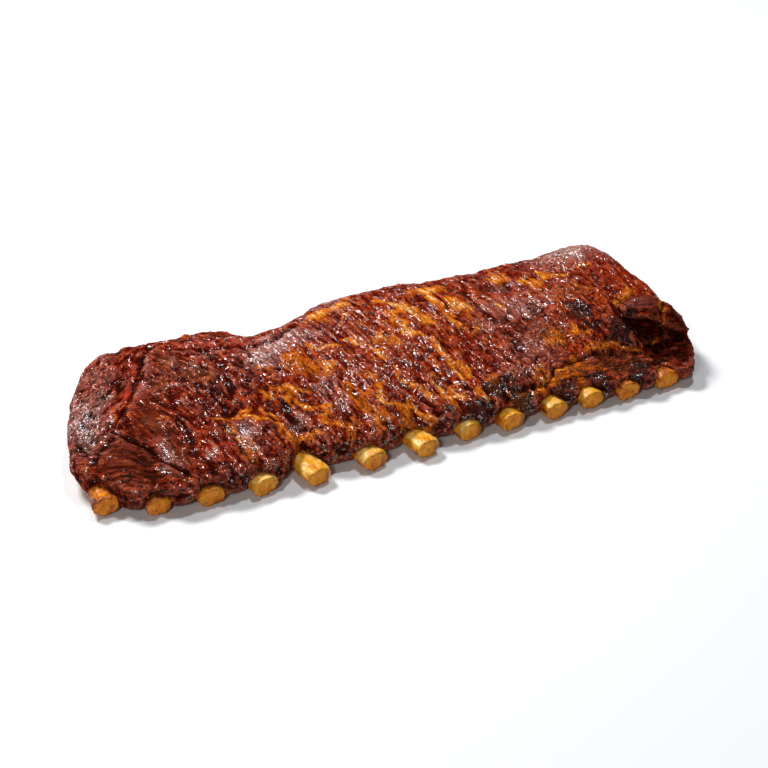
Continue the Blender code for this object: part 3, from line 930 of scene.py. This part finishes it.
@dataclass(frozen=True)
class MeatFinish:
    """Smoked and glazed bark over pork."""

    name: str = "meat_bark"
    deep: Colour = (0.032, 0.0038, 0.0022)
    mahogany: Colour = (0.155, 0.0100, 0.0030)
    rust: Colour = (0.305, 0.0260, 0.0030)
    russet: Colour = (0.460, 0.0600, 0.0040)
    orange: Colour = (0.590, 0.1200, 0.0050)
    amber: Colour = (0.820, 0.2650, 0.0200)
    cream: Colour = (0.930, 0.6200, 0.2500)
    painted_sheen: Colour = (0.420, 0.1850, 0.1450)
    dusk: Colour = (0.400, 0.3500, 0.3800)
    ember: Colour = (0.600, 0.1150, 0.0080)
    tan: Colour = (0.340, 0.1050, 0.0440)
    painted_glint: Colour = (0.680, 0.2900, 0.1100)
    red: Colour = (0.430, 0.0260, 0.0070)
    soot: Colour = (0.0130, 0.0085, 0.0080)
    membrane: Colour = (0.240, 0.0720, 0.0340)
    sinew: Colour = (0.480, 0.2500, 0.1450)

    def material(self) -> bpy.types.Material:
        """Makes the material, which reads the marks that the slab's skin holds."""
        t = ShaderTree(self.name)
        place, places = t.place, t.direction("strand_place")
        fat, char_and_shade, pale = t.mark("fat"), t.mark("char_and_shade"), t.mark("pale")
        red, tan, bare = t.mark("red"), t.mark("tan"), t.mark("bare")
        wet, fibre, crease_shade, under = t.mark("wet"), t.mark("fibre"), t.mark("crease_shade"), t.mark("under")
        glow, dusk = t.mark("glow"), t.mark("dusk")

        broad = t.noise(place, 0.018, 3.0, 0.5, 0.3, 1.0)
        lumps = mottle(t, places)
        cracks = pits(t, place)
        grit = t.noise(place, 0.0020, 1.5, 0.6, 0.3, 3.0)
        fine = t.noise(place, 0.0010, 1.0, 0.6, 0.0, 4.0)
        coarse_strands = strands(t, places, 0.0028, 5.0)
        fine_strands = strands(t, places, 0.0015, 6.0)
        rough_bark = 1.0 - bare

        gap, own = t.grains(t.scaled(t.stirred(places, 0.004, 0.0012), (1.0, 0.55, 0.8)), 0.0021)
        seams = gap.step(0.16, 0.0)

        crusty = rough_bark * (1.0 - glow * 0.55)
        bands = broad.step(-0.7, 0.5)
        tone = fine_strands * (0.22 + 0.26 * fibre) + coarse_strands * (0.06 + 0.26 * fibre * bands)
        tone = tone * (1.0 - bare * 0.35) + broad * 0.22 + lumps * (0.05 + 0.06 * crusty)
        tone = tone + grit * (0.12 + 0.18 * crusty) + fine * (0.10 + 0.12 * crusty)
        tone = tone + own * (0.04 + 0.13 * crusty) - seams * (0.05 + 0.14 * crusty)
        # Creases are darkened as painted shade.
        tone = 0.47 + tone + glow * 0.28 - crease_shade * (0.28 - 0.12 * glow) - cracks * 0.30 * crusty
        colour = t.ramp(
            tone,
            [(0.05, self.deep), (0.34, self.mahogany), (0.58, self.rust), (0.80, self.russet), (1.0, self.ember)],
        )
        colour = t.blend((tan + grit * 0.5 * tan).share() * 0.70, colour, self.tan)
        colour = t.blend((red + lumps * 0.5 * red + grit * 0.4 * red).share() * 0.80, colour, self.red)
        # Painted sheen: a pinkish-grey colour where the pale marks lie, less in the creases.
        painted_sheen = (pale * (0.85 + grit * 0.60 + fine_strands * 0.40) - crease_shade * 0.3).share()
        colour = t.blend(painted_sheen * 0.80, colour, self.painted_sheen)
        colour = t.blend((dusk + grit * 0.25 * dusk).share(), colour, self.dusk, "MULTIPLY")
        # Pale specks painted into the colour as glints.
        specks = (grit * 0.6 + fine * 0.8 + pale * 0.2).step(0.60, 1.0) * rough_bark
        colour = t.blend(specks * 0.36, colour, self.painted_glint)

        edge = fat * 0.95 + lumps * 0.16 + coarse_strands * 0.44 + grit * 0.22 + fine_strands * 0.50 + fine * 0.10
        colour = t.blend(edge.step(-0.40, 0.40) * 0.80, colour, self.orange)
        colour = t.blend(edge.step(0.30, 0.90) * 0.90, colour, self.amber)
        colour = t.blend(edge.step(0.85, 1.40) * 0.9, colour, self.cream)

        # Soot over the char, over the front face's painted shadow, and deeper in the creases as painted shade.
        soot_and_shade = (char_and_shade * 1.60 + lumps * 0.35 + grit * 0.45 - 0.60 + crease_shade * 0.30).step(0.0, 0.45)
        colour = t.blend(soot_and_shade * (0.82 + own * 0.14), colour, self.soot)
        dots = t.cells(place, 0.0027) + fine * 0.06 - broad * 0.10 + fat.share() * 0.10 + pale.share() * 0.06
        colour = t.blend(dots.step(0.26, 0.19), colour, self.soot)
        sheet = (0.42 + broad * 0.40 + coarse_strands * 0.30 + grit * 0.12).share()
        colour = t.blend(under * 0.85, colour, t.blend(sheet, self.membrane, self.sinew))
        # Creases are darkened further towards the deepest colour: painted shade.
        colour = t.blend((crease_shade * 1.1 * (1.0 - glow * 0.6)).share() * 0.75, colour, self.deep)

        height = grit * 0.00034 * (0.35 + rough_bark) + fine * 0.00013 + lumps * 0.00020
        height = height + (fine_strands * 0.00022 + coarse_strands * 0.00034) * (0.25 + fibre)
        height = height + gap.step(0.0, 0.4) * 0.00042 * (0.25 + rough_bark) + own * 0.00008
        normal = t.bumped(height)
        film = wet * 0.80 + pale * 0.5 + own * 0.45 + grit * 0.35 + coarse_strands * 0.40 - seams * 0.5
        film = (film + fine * 0.20 + soot_and_shade * 0.15 - dusk * 0.45 - 0.20).step(0.0, 0.35)
        film = film * (1.0 - under) + under * 0.30
        glossy = t.lobe(
            Base_Color=colour,
            Roughness=0.155 + pale * 0.12 + soot_and_shade * 0.03 + grit * 0.03,
            Specular_IOR_Level=1.0,
            IOR=1.95,
            Coat_Weight=wet * 0.25,
            Coat_Roughness=0.14,
            Normal=normal,
        )
        dull = t.lobe(Base_Color=colour, Roughness=0.70 + fine * 0.08, Specular_IOR_Level=0.0, Normal=normal)
        return t.join(film, dull, glossy)


@dataclass(frozen=True)
class BoneFinish:
    """Roasted rib bone, glazed and sawn across."""

    name: str = "roasted_bone"
    ivory: Colour = (0.900, 0.6100, 0.1900)
    honey: Colour = (0.770, 0.3400, 0.0140)
    orange: Colour = (0.680, 0.1800, 0.0050)
    brown: Colour = (0.150, 0.0300, 0.0090)
    soot: Colour = (0.030, 0.0120, 0.0080)

    def material(self) -> bpy.types.Material:
        """Makes the material, which reads how pale each bone is and where it is sawn."""
        t = ShaderTree(self.name)
        place, pale, cut, buried = t.place, t.mark("pale"), t.mark("cut"), t.mark("buried")
        stirred = t.stirred(place, 0.005, 0.0012)
        along = t.scaled(stirred, (1.0, 0.10, 1.0))
        upright = t.scaled(stirred, (1.0, 1.0, 0.30))
        broad = t.noise(place, 0.0065, 2.0, 0.5, 0.8, 11.0)
        grain = t.noise(along, 0.0018, 2.0, 0.6, 0.0, 12.0)
        face_grain = t.noise(upright, 0.0019, 2.0, 0.6, 0.6, 13.0)
        specks = (t.cells(place, 0.0030) + grain * 0.04).step(0.17, 0.08)

        shaft = pale + broad * 0.32 + grain * 0.28
        colour = t.ramp(
            shaft, [(0.0, self.brown), (0.28, self.orange), (0.58, self.honey), (0.95, self.ivory)]
        )
        face = t.ramp(
            pale * 0.50 + 0.28 + face_grain * 0.20 + broad * 0.16,
            [(0.0, self.brown), (0.25, self.orange), (0.62, self.honey), (1.0, self.ivory)],
        )
        colour = t.blend(cut, colour, face)
        rim = (cut * (1.0 - cut) * 4.0 + grain * 0.3).step(0.5, 1.1)
        colour = t.blend(rim * 0.55, colour, self.brown)
        colour = t.blend((specks + (buried + broad * 0.2 * buried) * 0.9).share(), colour, self.brown)
        colour = t.blend(specks * 0.6, colour, self.soot)
        height = grain * 0.00022 * (1.0 - cut) + face_grain * cut * 0.00026 + broad * 0.00020
        return t.finish(
            Base_Color=colour,
            Roughness=0.40 + grain * 0.08 + cut * 0.06,
            Specular_IOR_Level=0.25,
            Coat_Weight=(0.10 - cut * 0.08 + broad * 0.1).share(),
            Coat_Roughness=0.18,
            Subsurface_Weight=0.10,
            Subsurface_Radius=(0.0030, 0.0014, 0.0006),
            Subsurface_Scale=1.0,
            Normal=t.bumped(height),
        )


@dataclass(frozen=True)
class SeasoningFinish:
    """The finish of one kind of small thing that lies on the bark."""

    name: str
    dark: Colour
    light: Colour
    roughness: float
    coat: float = 0.0
    grain: float = 0.0007

    def material(self) -> bpy.types.Material:
        """Makes a material that changes from piece to piece."""
        t = ShaderTree(self.name)
        patches = t.noise(t.place, 0.006, 2.0, 0.6, 0.0, 21.0)
        specks = t.noise(t.place, self.grain, 2.0, 0.6, 0.0, 22.0)
        colour = t.blend((0.45 + patches * 0.45 + specks * 0.25).share(), self.dark, self.light)
        return t.finish(
            Base_Color=colour,
            Roughness=self.roughness + specks * 0.06,
            Coat_Weight=self.coat,
            Coat_Roughness=0.12,
            Normal=t.bumped(specks * 0.00006),
        )


@dataclass(frozen=True)
class FloorFinish:
    """A pale, matt studio floor."""

    name: str = "studio_floor"
    colour: Colour = (0.90, 0.90, 0.90)

    def material(self) -> bpy.types.Material:
        """Makes the material."""
        t = ShaderTree(self.name)
        cloud = t.noise(t.place, 0.4, 2.0)
        shade = t.blend((0.5 + cloud * 0.5).share(), self.colour, tuple(c * 0.985 for c in self.colour))
        return t.finish(Base_Color=shade, Roughness=0.8, Specular_IOR_Level=0.2)


# --- The slab ---------------------------------------------------------------------------------
@dataclass
class MeatSlab:
    """The slab of meat: a fine skin over its solid, in relief."""

    pitch: float = 0.00108
    smoothing: int = 10
    kept_share: float = 0.76  # of the skin's faces, once the underside is thinned
    underside_top: float = 0.018
    plug_growth: float = 0.0005  # the bones fill their channels a little over full
    plug_lift: float = 0.0007
    plug_depth: float = 0.006  # how deep in its channel each filling starts
    lump_height: float = 0.00120
    mottle_height: float = 0.00068
    strand_height: float = 0.00055
    pit_depth: float = 0.0013
    crust_height: float = 0.0016
    seam_wander: float = 1.6
    finish: MeatFinish = field(default_factory=MeatFinish)

    def build(self) -> bpy.types.Object:
        """Makes the slab and dresses it.

        Returns:
            The finished object.
        """
        obj = voxel_skin("meat_skin", self._solids(), self.pitch)
        Surface(obj).relax(self.smoothing)
        self._thin_underside(obj)
        skin = Surface(obj)
        self._hold_in_box(skin)
        self._mark(skin)
        self._carve(skin)
        obj = self._roughen(obj)
        skin = Surface(obj)
        self._hold_in_box(skin)
        # How deep each point lies in a crease, which the colour darkens as painted shade.
        crease_shade = skin.hollows(12) / (0.55 * MM) * (1.0 - skin.read_mark("under"))
        skin.store("crease_shade", np.clip(crease_shade, -1.0, 1.0))
        skin.mesh.attributes.remove(skin.mesh.attributes["held"])
        skin.mesh.shade_smooth()
        obj.data.materials.clear()
        obj.data.materials.append(self.finish.material())
        return obj

    def _thin_underside(self, obj: bpy.types.Object) -> None:
        """Leaves fewer faces on the underside, which has little relief."""
        skin = Surface(obj)
        low = (skin.normals()[:, 2] < -0.5) & (skin.points[:, 2] < self.underside_top)
        group = obj.vertex_groups.new(name="underside")
        group.add(np.flatnonzero(low).tolist(), 1.0, "REPLACE")
        modifier = obj.modifiers.new("thin", "DECIMATE")
        modifier.ratio = self.kept_share
        modifier.vertex_group = group.name
        take_result(obj)
        obj.vertex_groups.clear()

    def _solids(self) -> bmesh.types.BMesh:
        """The slab's solid with its channels filled, all but their mouths."""
        joined = solid_copy("meat_slab")
        for node in rib_nodes():
            plug = solid_copy(node)
            for vertex in plug.verts:
                vertex.co += vertex.normal * self.plug_growth
                vertex.co.z += self.plug_lift
            mouth = self._mouth(node)
            for vertex in plug.verts:
                vertex.co.y = max(vertex.co.y, mouth)
            made = bpy.data.meshes.new("plug")
            plug.to_mesh(made)
            plug.free()
            joined.from_mesh(made)
            bpy.data.meshes.remove(made)
        return joined

    def _mouth(self, node: str) -> float:
        """Where a channel's filling starts: a little behind where the bone's top is covered."""
        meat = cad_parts["meat_slab"].data
        _, bone_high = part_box(node)
        middle = bone_tip(node)[0]
        over = [
            v.co.y
            for v in meat.vertices
            if abs(v.co.x - middle) < 5 * MM and v.co.z > bone_high.z + MM and v.co.y < 0
        ]
        return min(over) + self.plug_depth

    @staticmethod
    def _gaps() -> list[tuple[int, Point]]:
        """The middle of the gap after each bone, at the bones' front ends, in millimetres."""
        tips = [bone_tip(node) for node in rib_nodes()]
        return [
            (number, ((a[0] + b[0]) / 2 / MM, (a[1] + b[1]) / 2 / MM))
            for number, (a, b) in enumerate(zip(tips, tips[1:]), start=1)
        ]

    def _mark(self, skin: Surface) -> None:
        """Stores where the skin is fatty, scorched, pale, wet and so on, with a painted shadow on the front face
        held in the char and a painted sheen in the pale marks.
        """
        points, normals = skin.points, skin.normals()
        drift = wander(points, 0.011, 3.0)[:, :2] * 3.0 + wander(points, 0.004, 9.0)[:, :2] * 1.2
        plan = points[:, :2] / MM + drift * self.seam_wander
        up = normals[:, 2]
        under = smooth(-up, 0.35, 0.75) * smooth(-points[:, 2], -0.024, -0.018)
        upper = 1.0 - under
        collars = tuple(
            Streak(((x / MM, y / MM + 13.0), (x / MM + 1.5, y / MM + 20.0)), 4.0, 0.30)
            for x, y in map(bone_tip, rib_nodes()[3:11])
        )
        slope = np.max([streak.slope(plan) for streak in FAT + collars], axis=0)
        front_face = smooth(-points[:, 1], 0.046, 0.060) * smooth(-up, -0.75, -0.25) * upper
        back_face = smooth(points[:, 1], 0.050, 0.066) * smooth(-up, -0.7, -0.2) * upper
        scorched = tuple(
            Patch(x, y + 6.0, 8.0, 7.0, 1.25 if number >= 8 else 0.60) for number, (x, y) in self._gaps()
        )
        skin.store("fat", np.where(under > 0.5, -1.0, slope))
        # Char patches; the front face is darkened as a painted shadow, and the back face is darker too.
        char_and_shade = np.maximum(strongest(CHAR + scorched, plan), 0.55 * front_face + 0.40 * back_face)
        skin.store("char_and_shade", char_and_shade * upper)
        # The pale marks hold a painted sheen, only on faces turned up.
        skin.store("pale", strongest(GLOSS_AND_PAINTED_SHEEN, plan) * upper * smooth(up, 0.1, 0.6))
        skin.store("red", strongest(RED, plan) * upper)
        skin.store("tan", strongest(TAN, plan) * upper)
        skin.store("bare", np.maximum(strongest(SMOOTH, plan), under * 0.8))
        left_end = smooth(-points[:, 0], 0.045, 0.100)
        skin.store("glow", (strongest(GLOW, plan) - 0.30 * left_end) * upper)
        skin.store("dusk", np.maximum(strongest(DUSK, plan), 0.35 * back_face) * upper)
        skin.store("wet", np.maximum(strongest(WET, plan) * upper, 0.6 * under))
        skin.store("fibre", np.clip(0.25 + strongest(FIBRES, plan), 0.0, 1.0))
        skin.store("under", under)
        skin.store("held", np.clip(under + (points[:, 2] < 2.5 * MM), 0.0, 1.0))
        skin.store("strand_place", strand_places(points, upper))

    def _carve(self, skin: Surface) -> None:
        """Presses the creases in and raises the swells."""
        points, normals = skin.points, skin.normals()
        plan = points[:, :2] / MM + wander(points, 0.006, 5.0)[:, :2] * 1.6
        up = smooth(normals[:, 2], -0.1, 0.45)
        clods = tuple(Patch(x, y + 6.0, 5.0, 5.0, 1.2) for number, (x, y) in self._gaps() if number >= 9)
        rise = sum(patch.bell(plan) for patch in SWELLS + clods) - strongest(GROOVES, plan)
        skin.points = points + normals * (rise * MM * up)[:, None]
        skin.write()
        skin.relax(1)

    def _roughen(self, obj: bpy.types.Object) -> bpy.types.Object:
        """Gives the skin its lumps, strands, pits and crust with Geometry Nodes."""
        t = GeometryTree(
            "meat_relief",
            {
                "Lump Height": self.lump_height,
                "Mottle Height": self.mottle_height,
                "Strand Height": self.strand_height,
                "Pit Depth": self.pit_depth,
                "Crust Height": self.crust_height,
            },
        )
        place = t.node("GeometryNodeInputPosition").outputs[0]
        normal = t.node("GeometryNodeInputNormal").outputs[0]
        bare, fibre, char_and_shade = t.mark("bare"), t.mark("fibre"), t.mark("char_and_shade")
        rough_bark = 1.0 - bare * 0.8
        height = t.noise(place, 0.012, 1.0, 0.5, 0.4, 1.5) * t.number("Lump Height") * rough_bark
        places = t.direction("strand_place")
        height = height + mottle(t, places) * t.number("Mottle Height") * rough_bark * (1.0 - t.mark("glow") * 0.4)
        ridges = strands(t, places, 0.0028, 5.0)
        bands = t.noise(place, 0.018, 3.0, 0.5, 0.3, 1.0).step(-0.7, 0.5)
        height = height + ridges * t.number("Strand Height") * (0.15 + fibre * bands)
        height = height - pits(t, place) * t.number("Pit Depth") * rough_bark
        crust = (0.55 - t.cells(place, 0.0036)) * char_and_shade.step(0.20, 0.7)
        height = height + crust * t.number("Crust Height")
        height = height + t.mark("fat").step(-0.1, 0.5) * 0.00025
        height = height * (1.0 - t.mark("held"))
        offset = t.node("ShaderNodeVectorMath", {"operation": "SCALE"}, {0: normal, "Scale": height}).outputs[0]
        moved = t.node("GeometryNodeSetPosition", {}, {"Geometry": t.geometry, "Offset": offset})
        t.leave(moved.outputs[0], bpy.data.materials.new("relief"))
        mesh = t.run(obj)
        bpy.data.objects.remove(obj)
        return link("meat_skin", mesh)

    @staticmethod
    def _hold_in_box(skin: Surface) -> None:
        """Keeps the skin above the floor and in the solids' box, within a little slack."""
        skin.points[:, 2] = np.clip(skin.points[:, 2], 0.0, CAD_HIGH.z + BOX_SLACK)
        skin.write()


# --- The bones --------------------------------------------------------------------------------
@dataclass
class RibBone:
    """One rib bone, sawn off at its front end."""

    node: str
    paleness: float
    pitch: float = 0.0009
    growth: float = 0.00045
    bare_length: float = 0.020
    knobbiness: float = 0.00040
    chip_depth: float = 0.0010

    def build(self, material: bpy.types.Material) -> bpy.types.Object:
        """Makes the bone.

        Args:
            material: The bones' shared finish.

        Returns:
            The finished object.
        """
        obj = voxel_skin(self.node.replace("rib_bone", "roasted_rib"), solid_copy(self.node), self.pitch)
        skin = Surface(obj)
        skin.relax(6)
        low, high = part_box(self.node)
        normals = skin.normals()
        tip = skin.points[:, 1] - low.y
        cut = smooth(-normals[:, 1], 0.55, 0.85) * smooth(-tip, -0.004, -0.002)
        layer = float(self.node[-2:])
        knobs = wander(skin.points, 0.006, layer)[:, 0] + 0.5 * wander(skin.points, 0.0025, layer + 40)[:, 1]
        skin.points = skin.points + normals * (self.growth + self.knobbiness * knobs * 2.0)[:, None]
        chips = wander(skin.points * (1.0, 0.0, 1.0), 0.0035, layer + 9)[:, 2]
        skin.points[:, 1] += smooth(-tip, -0.004, 0.0) * (self.chip_depth * (0.4 + 2.0 * chips))
        skin.write()
        streaks = wander(skin.points * (1.0, 0.15, 1.0), 0.003, layer + 3)[:, 0]
        top = smooth(normals[:, 2], 0.0, 0.8)
        rise = (skin.points[:, 2] - low.z) / (high.z - low.z)
        below = smooth(-normals[:, 2], 0.2, 0.8)
        # Each bone's paleness, raised on faces turned up as a painted highlight, higher up and underneath.
        pale = self.paleness * (0.30 + 0.45 * top + 0.35 * rise) + 0.28 * below
        skin.store("pale", pale + streaks * 0.35)
        skin.store("cut", cut)
        sunk = smooth(tip, self.bare_length, self.bare_length + 0.014)
        skin.store("buried", sunk * (0.7 - 0.5 * below))
        obj.data.shade_smooth()
        obj.data.materials.clear()
        obj.data.materials.append(material)
        return obj


@dataclass
class RibCage:
    """The thirteen bones, from the left end of the rack to the right."""

    paleness: tuple[float, ...] = (0.1, 0.15, 0.4, 0.75, 0.7, 0.7, 0.6, 0.75, 0.45, 0.6, 0.5, 0.15, 0.2)
    finish: BoneFinish = field(default_factory=BoneFinish)

    def build(self) -> list[tuple[bpy.types.Object, str]]:
        """Makes every bone, and returns each with the solid that it stands for."""
        material = self.finish.material()
        bones = [RibBone(node, pale) for node, pale in zip(rib_nodes(), self.paleness)]
        return [(bone.build(material), bone.node) for bone in bones]


# --- What lies on the bark --------------------------------------------------------------------
@dataclass
class Seasoning:
    """Small things of one kind, strewn over the meat."""

    name: str
    finish: SeasoningFinish
    density: float  # for each square metre where the zone is full
    zone: str
    small: float
    large: float
    flatness: float
    seed: int
    base: float = 0.0  # how much of the density lies everywhere
    rounding: int = 1
    unevenness: float = 0.35
    sink: float = 0.1
    shiny: bool = False

    def build(self, meat: bpy.types.Object) -> bpy.types.Object:
        """Strews them over the meat's upper side.

        Args:
            meat: The finished slab.

        Returns:
            One object with all of them.
        """
        t = GeometryTree(
            self.name + "_tree",
            {"Density": self.density, "Smallest": self.small, "Largest": self.large, "Flatness": self.flatness},
        )
        zone = (t.mark(self.zone).share() + self.base) * (1.0 - t.mark("under"))
        clumps = t.noise(t.node("GeometryNodeInputPosition").outputs[0], 0.012, 1.0, 0.5, 0.0, self.seed)
        spread = t.node(
            "GeometryNodeDistributePointsOnFaces",
            {},
            {
                "Mesh": t.geometry,
                "Density": t.number("Density") * zone * (0.6 + clumps * 0.6).at_least(0.05),
                "Seed": self.seed,
            },
        )
        grain = t.node("GeometryNodeMeshIcoSphere", {}, {"Radius": 1.0, "Subdivisions": self.rounding})
        share = t.random(0.0, 1.0, self.seed + 1) ** 2.0
        size = t.number("Smallest") + (t.number("Largest") - t.number("Smallest")) * share
        stretch = t.vector(
            size * t.random(0.7, 1.3, self.seed + 2),
            size * t.random(0.6, 1.0, self.seed + 3),
            size * t.number("Flatness") * t.random(0.7, 1.3, self.seed + 4),
        )
        spin = t.node("FunctionNodeEulerToRotation", {}, {0: t.vector(0.0, 0.0, t.random(0.0, 6.28, self.seed + 5))})
        turned = t.node("FunctionNodeRotateRotation", {"rotation_space": "LOCAL"}, {})
        t._feed(turned.inputs[0], spread.outputs["Rotation"])
        t._feed(turned.inputs[1], spin.outputs[0])
        placed = t.node(
            "GeometryNodeInstanceOnPoints",
            {},
            {
                "Points": spread.outputs["Points"],
                "Instance": grain.outputs["Mesh"],
                "Rotation": turned.outputs[0],
                "Scale": stretch,
            },
        )
        real = t.node("GeometryNodeRealizeInstances", {}, {"Geometry": placed.outputs[0]})
        here = t.node("GeometryNodeInputPosition").outputs[0]
        stir = t.node(
            "ShaderNodeTexNoise", {"noise_dimensions": "3D"}, {"Vector": here, "Scale": 1400.0, "Detail": 1.0}
        ).outputs[1]
        centred = t.node("ShaderNodeVectorMath", {"operation": "SUBTRACT"}, {0: stir, 1: (0.5, 0.5, 0.5)}).outputs[0]
        offset = t.scaled(centred, (self.unevenness * self.large * 2.0,) * 3)
        moved = t.node("GeometryNodeSetPosition", {}, {"Geometry": real.outputs[0], "Offset": offset})
        shaded = t.node("GeometryNodeSetShadeSmooth", {}, {"Geometry": moved.outputs[0], "Shade Smooth": self.shiny})
        t.leave(shaded.outputs[0], self.finish.material())
        host = link(self.name + "_host", meat.data.copy())
        mesh = t.run(host)
        bpy.data.objects.remove(host)
        for attribute in [a.name for a in mesh.attributes if not a.is_internal and not a.is_required]:
            if attribute in mesh.attributes and attribute not in ("sharp_face", "material_index"):
                mesh.attributes.remove(mesh.attributes[attribute])
        obj = link(self.name, mesh)
        skin = Surface(obj)
        skin.points[:, 2] = np.clip(skin.points[:, 2], 0.0003, CAD_HIGH.z + BOX_SLACK)
        skin.write()
        return obj


PEPPER = SeasoningFinish("cracked_pepper", (0.010, 0.007, 0.006), (0.045, 0.030, 0.024), 0.55)
CRUMBS = SeasoningFinish("bark_crumb", (0.035, 0.008, 0.005), (0.200, 0.045, 0.018), 0.42, 0.25)
GLAZE = SeasoningFinish("set_glaze", (0.140, 0.016, 0.006), (0.480, 0.110, 0.020), 0.14, 0.8, 0.003)

SEASONINGS = (
    Seasoning("pepper_flecks", PEPPER, 62000.0, "char_and_shade", 0.00028, 0.00075, 0.6, 31, base=0.55),
    Seasoning("bark_crumbs", CRUMBS, 42000.0, "char_and_shade", 0.00035, 0.00100, 0.7, 41, base=0.55),
    Seasoning(
        "glaze_beads", GLAZE, 16000.0, "wet", 0.0004, 0.0011, 0.45, 51,
        base=0.10, rounding=2, unevenness=0.12, shiny=True,
    ),
)


# --- Studio -----------------------------------------------------------------------------------
@dataclass(frozen=True)
class SoftLight:
    """A soft rectangular light that looks at the rack."""

    name: str
    place: tuple[float, float, float]
    size: tuple[float, float]
    power: float
    colour: Colour = (1.0, 1.0, 1.0)

    def build(self) -> None:
        """Adds the light."""
        data = bpy.data.lights.new(self.name, "AREA")
        data.shape = "RECTANGLE"
        data.size, data.size_y = self.size
        data.energy = self.power
        data.color = self.colour
        obj = bpy.data.objects.new(self.name, data)
        obj.location = self.place
        obj.rotation_euler = (-Vector(self.place)).to_track_quat("-Z", "Y").to_euler()
        bpy.context.scene.collection.objects.link(obj)


@dataclass
class Studio:
    """The floor, the lights and the camera."""

    camera_place: tuple[float, float, float] = (-0.4457, -1.0595, 0.7557)
    looks_at: tuple[float, float, float] = (-0.0059, -0.0237, 0.025)
    lens: float = 109.3
    sensor: float = 36.0
    floor_size: float = 8.0
    sky: float = 0.06
    lights: tuple[SoftLight, ...] = (
        SoftLight("key_behind", (-0.55, 1.00, 1.60), (0.6, 0.4), 38.0),
        SoftLight("top_sparkle", (0.30, 0.20, 1.70), (0.15, 0.15), 10.0, (0.90, 0.94, 1.0)),
        SoftLight("front_fill", (-1.0, -1.3, 1.2), (0.3, 0.3), 8.0),
    )
    finish: FloorFinish = field(default_factory=FloorFinish)

    def build(self) -> None:
        """Sets up everything that isn't part of the rack."""
        self._floor()
        self._sky()
        self._camera()
        for light in self.lights:
            light.build()
        bpy.context.scene.view_settings.view_transform = "Standard"

    def _floor(self) -> None:
        """A wide flat floor at the height that the rack lies on."""
        sheet = bmesh.new()
        bmesh.ops.create_grid(sheet, x_segments=1, y_segments=1, size=self.floor_size / 2)
        mesh = bpy.data.meshes.new("floor")
        sheet.to_mesh(mesh)
        sheet.free()
        mesh.materials.append(self.finish.material())
        link("floor", mesh)

    def _sky(self) -> None:
        """An even white world."""
        world = bpy.data.worlds.new("studio")
        world.use_nodes = True
        background = world.node_tree.nodes["Background"]
        background.inputs["Color"].default_value = (1.0, 1.0, 1.0, 1.0)
        background.inputs["Strength"].default_value = self.sky
        bpy.context.scene.world = world

    def _camera(self) -> None:
        """A long lens, above and to the left of the rack."""
        data = bpy.data.cameras.new("camera")
        data.lens, data.sensor_width = self.lens, self.sensor
        camera = bpy.data.objects.new("camera", data)
        camera.location = self.camera_place
        line = Vector(self.looks_at) - Vector(self.camera_place)
        camera.rotation_euler = line.to_track_quat("-Z", "Y").to_euler()
        bpy.context.scene.collection.objects.link(camera)
        bpy.context.scene.camera = camera


# --- The whole rack ---------------------------------------------------------------------------
def settle(piece: bpy.types.Object, slot: Slot, *nodes: str) -> None:
    """Makes a finished piece ride on the rack, in place of its solids."""
    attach(piece, BODY)
    if nodes:
        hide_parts(*nodes)
    piece.data.validate()
    LOG.info("%s: %d points, %d faces", piece.name, len(piece.data.vertices), len(piece.data.polygons))


def main() -> None:
    """Builds the studio, the slab, the bones and the seasoning."""
    logging.basicConfig(level=logging.INFO, format="%(message)s")
    Studio().build()
    meat = MeatSlab().build()
    settle(meat, Slot.MEAT, "meat_slab")
    for bone, node in RibCage().build():
        settle(bone, Slot.BONE, node)
    for seasoning in SEASONINGS:
        settle(seasoning.build(meat), Slot.MEAT)


if __name__ == "__main__":
    main()
